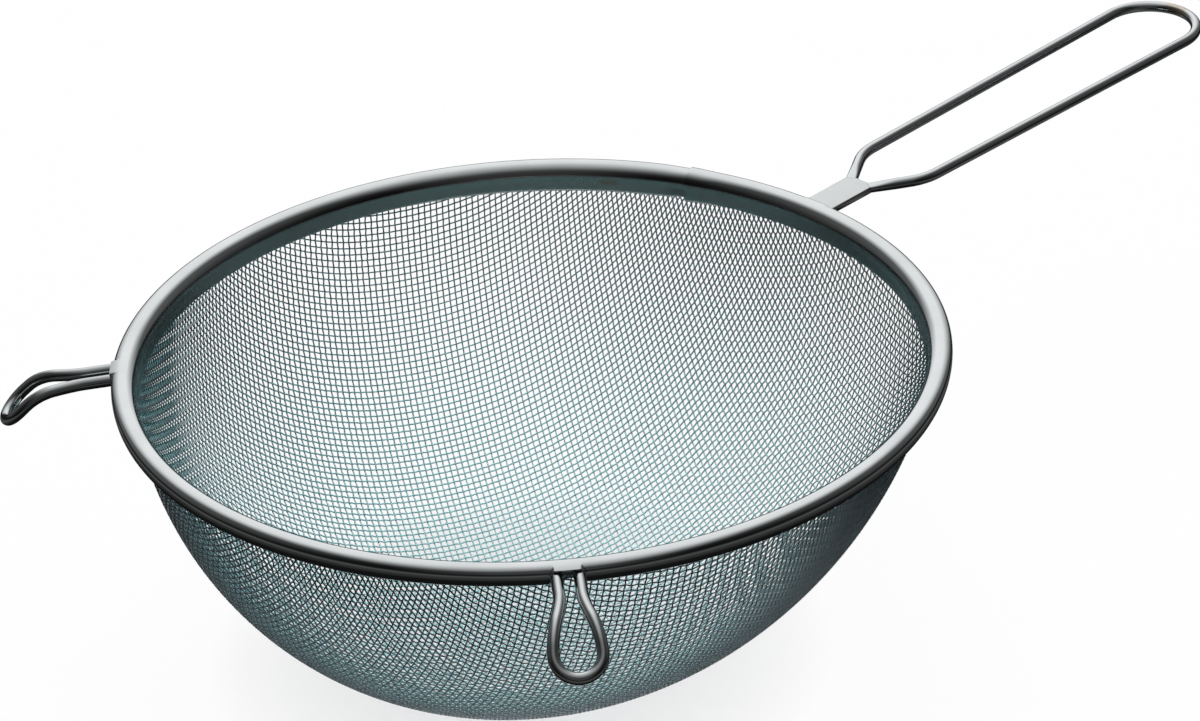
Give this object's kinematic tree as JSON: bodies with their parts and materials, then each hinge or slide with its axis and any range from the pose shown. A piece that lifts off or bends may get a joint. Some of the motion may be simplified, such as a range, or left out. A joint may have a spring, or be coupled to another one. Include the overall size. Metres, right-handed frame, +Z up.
{
  "type": "kitchen sieve",
  "caption": "Round hand-held kitchen sieve: woven steel mesh bowl in a rolled rim, with a wire loop handle and wire rest ears.",
  "frame": {"origin": "lowest point of the bowl, in the middle of its small flat foot", "axes": "+Z up out of the bowl, +X along the handle away from the bowl"},
  "size_m": [0.3737, 0.2203, 0.0904],
  "materials": {
    "rim_steel": "polished stainless sheet",
    "wire_steel": "polished stainless wire",
    "mesh_steel": "drawn stainless wire cloth"
  },
  "bodies": {
    "root": {"rim": "rim_steel", "rim_core": "wire_steel", "mesh_bowl": "mesh_steel", "handle_neck": "wire_steel", "handle_loop": "wire_steel", "left_ear": "wire_steel", "front_ear": "wire_steel"}
  },
  "joints": []
}
